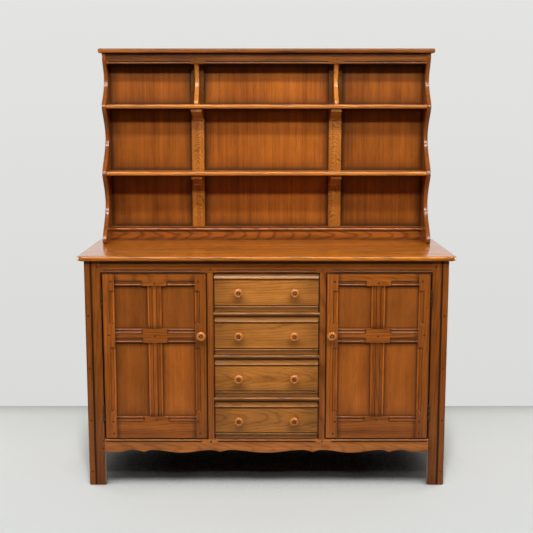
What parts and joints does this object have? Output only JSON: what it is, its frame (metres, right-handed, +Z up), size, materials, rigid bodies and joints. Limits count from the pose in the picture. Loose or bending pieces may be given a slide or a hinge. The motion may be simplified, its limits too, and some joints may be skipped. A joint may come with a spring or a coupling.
{
  "type": "welsh dresser",
  "caption": "Elm dresser: open plate rack with scalloped sides on a cupboard base with a bank of drawers between two panelled doors.",
  "frame": {"origin": "on the floor, at the middle of the footprint of the overall box", "axes": "+X to the right seen from the front, -Y toward the front, +Z up"},
  "size_m": [1.37, 0.5262, 1.622],
  "materials": {
    "elm": "waxed, satin to gloss",
    "elm_light": "waxed, satin to gloss",
    "elm_dark": "waxed, satin to gloss",
    "elm_panel": "waxed, satin",
    "knob_elm": "turned and polished",
    "inside_wood": "plain, unpolished",
    "back_board": "plain, unpolished",
    "aged_brass": "aged, dark"
  },
  "bodies": {
    "dresser": {"worktop": "elm", "front_top_rail": "elm", "front_apron": "elm", "base_back": "back_board", "base_floor": "inside_wood", "drawer_rail_1": "elm", "drawer_rail_2": "elm", "drawer_rail_3": "elm", "side_frame_left": "elm", "side_panel_left": "elm_panel", "front_stile_left": "elm", "partition_left": "elm", "cupboard_shelf_left": "inside_wood", "hinge_cabinet_leaf_left_upper": "aged_brass", "hinge_cabinet_leaf_left_lower": "aged_brass", "side_frame_right": "elm", "side_panel_right": "elm_panel", "front_stile_right": "elm", "partition_right": "elm", "cupboard_shelf_right": "inside_wood", "hinge_cabinet_leaf_right_upper": "aged_brass", "hinge_cabinet_leaf_right_lower": "aged_brass", "rack_top_board": "elm_dark", "rack_frieze": "elm_dark", "rack_shelf_upper": "elm_light", "rack_shelf_lower": "elm_light", "rack_back": "elm_panel", "rack_plinth_rail": "elm_light", "rack_side_left": "elm", "rack_divider_left": "elm", "rack_muntin_left": "elm_light", "rack_side_right": "elm", "rack_divider_right": "elm", "rack_muntin_right": "elm_light"},
    "door_left": {"door_frame_left": "elm", "door_panel_left": "elm_panel", "door_knob_left": "knob_elm", "hinge_door_leaf_left_upper": "aged_brass", "hinge_door_leaf_left_lower": "aged_brass"},
    "door_right": {"door_frame_right": "elm", "door_panel_right": "elm_panel", "door_knob_right": "knob_elm", "hinge_door_leaf_right_upper": "aged_brass", "hinge_door_leaf_right_lower": "aged_brass"},
    "drawer_1": {"drawer_front_1": "elm_light", "drawer_box_1": "inside_wood", "drawer_knob_left_1": "knob_elm", "drawer_knob_right_1": "knob_elm"},
    "drawer_2": {"drawer_front_2": "elm_light", "drawer_box_2": "inside_wood", "drawer_knob_left_2": "knob_elm", "drawer_knob_right_2": "knob_elm"},
    "drawer_3": {"drawer_front_3": "elm_light", "drawer_box_3": "inside_wood", "drawer_knob_left_3": "knob_elm", "drawer_knob_right_3": "knob_elm"},
    "drawer_4": {"drawer_front_4": "elm_light", "drawer_box_4": "inside_wood", "drawer_knob_left_4": "knob_elm", "drawer_knob_right_4": "knob_elm"}
  },
  "joints": [
    {"name": "door_left_hinge", "type": "hinge", "parent": "dresser", "child": "door_left", "pos_m": [-0.5981, -0.2341, 0.4931], "axis": [0, 0, -1], "range_deg": [0, 165]},
    {"name": "door_right_hinge", "type": "hinge", "parent": "dresser", "child": "door_right", "pos_m": [0.5981, -0.2341, 0.4931], "axis": [0, 0, 1], "range_deg": [0, 165]},
    {"name": "drawer_1_slide", "type": "slide", "parent": "dresser", "child": "drawer_1", "axis": [0, -1, 0], "range_m": [0, 0.32]},
    {"name": "drawer_2_slide", "type": "slide", "parent": "dresser", "child": "drawer_2", "axis": [0, -1, 0], "range_m": [0, 0.32]},
    {"name": "drawer_3_slide", "type": "slide", "parent": "dresser", "child": "drawer_3", "axis": [0, -1, 0], "range_m": [0, 0.32]},
    {"name": "drawer_4_slide", "type": "slide", "parent": "dresser", "child": "drawer_4", "axis": [0, -1, 0], "range_m": [0, 0.32]}
  ]
}
